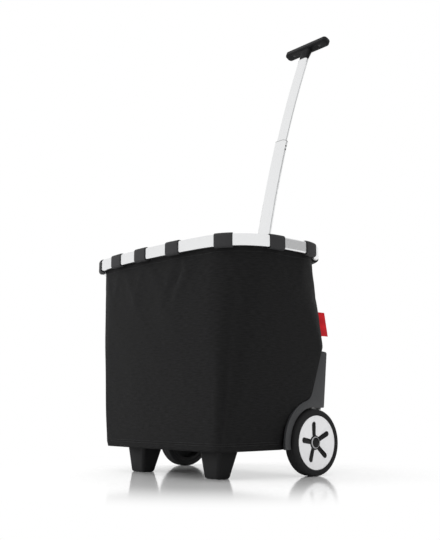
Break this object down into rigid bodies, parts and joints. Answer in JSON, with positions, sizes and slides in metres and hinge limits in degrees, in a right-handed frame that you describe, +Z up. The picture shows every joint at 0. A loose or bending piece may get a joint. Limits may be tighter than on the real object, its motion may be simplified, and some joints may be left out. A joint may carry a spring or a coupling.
{
  "type": "wheeled shopping basket",
  "caption": "Two-wheeled shopping basket: a tall fabric bag looped to an oval aluminium rim, with a curved pull-out pole, T grip, front feet and arched rear wheels.",
  "frame": {"origin": "on the floor, under the middle of the overall width and depth with the pole pulled out", "axes": "+Z up, +X towards the basket's right side, +Y towards its back, where the wheels and the pole are"},
  "size_m": [0.514, 0.5069, 1.0305],
  "materials": {
    "aluminium": "satin anodised tube",
    "bag_fabric": "plain-woven polyester, matt",
    "webbing": "flat woven polyester webbing",
    "board": "matt stiffening board",
    "black_plastic": "moulded, fine grain",
    "grey_plastic": "moulded, satin",
    "grip_plastic": "moulded, soft satin",
    "rubber": "matt tread",
    "wheel_silver": "silver-white lacquer",
    "gloss_black": "polished",
    "nylon": "natural nylon",
    "steel": "zinc-plated",
    "red_label": "woven tab, plain"
  },
  "bodies": {
    "basket": {"rim_front_rail": "aluminium", "rim_back_rail": "aluminium", "rim_joiner_right": "aluminium", "rim_joiner_left": "aluminium", "rim_rivets": "steel", "rim_loops": "webbing", "bag_front": "bag_fabric", "bag_right_side": "bag_fabric", "bag_left_side": "bag_fabric", "bag_rear_cover": "bag_fabric", "bag_back": "bag_fabric", "bag_bottom": "bag_fabric", "base_board": "board", "side_label": "red_label", "base_tray": "black_plastic", "axle_beam": "black_plastic", "foot_screws": "steel", "beam_screws": "steel", "socket_screws": "steel", "foot_right": "black_plastic", "foot_left": "black_plastic", "wheel_arch_right": "grey_plastic", "wheel_arch_left": "grey_plastic", "axle": "steel", "axle_clips": "steel", "axle_spacers": "nylon", "pole_outer_tube": "aluminium", "outer_bush": "black_plastic", "pole_bracket": "black_plastic", "bracket_screws": "steel"},
    "right_wheel": {"tyre_right": "rubber", "wheel_disc_right": "wheel_silver", "wheel_star_right": "gloss_black", "hub_cap_right": "gloss_black", "wheel_bushes_right": "nylon"},
    "left_wheel": {"tyre_left": "rubber", "wheel_disc_left": "wheel_silver", "wheel_star_left": "gloss_black", "hub_cap_left": "gloss_black", "wheel_bushes_left": "nylon"},
    "middle_section": {"pole_middle_tube": "aluminium", "middle_bush": "black_plastic", "middle_shoe": "black_plastic"},
    "inner_section": {"pole_inner_tube": "aluminium", "inner_shoe": "black_plastic", "grip_body": "grip_plastic", "grip_top": "grip_plastic", "grip_screws": "steel"},
    "release": {"grip_button": "grip_plastic", "release_rod": "steel"}
  },
  "joints": [
    {"name": "right_wheel_spin", "type": "hinge", "parent": "basket", "child": "right_wheel", "pos_m": [0.195, 0.01111, 0.064], "axis": [1, 0, 0], "continuous": true},
    {"name": "left_wheel_spin", "type": "hinge", "parent": "basket", "child": "left_wheel", "pos_m": [-0.195, 0.01111, 0.064], "axis": [1, 0, 0], "continuous": true},
    {"name": "middle_section_slide", "type": "hinge", "parent": "basket", "child": "middle_section", "pos_m": [0, 2.84481, -0.087], "axis": [1, 0, 0], "range_deg": [0, 5.8]},
    {"name": "inner_section_slide", "type": "hinge", "parent": "middle_section", "child": "inner_section", "pos_m": [0, 2.84481, -0.087], "axis": [1, 0, 0], "range_deg": [0, 4.75]},
    {"name": "release_press", "type": "slide", "parent": "inner_section", "child": "release", "axis": [0, -0.3912, -0.9203], "range_m": [0, 0.0025], "stiffness_N_per_m": 600, "springref_m": -0.003}
  ]
}
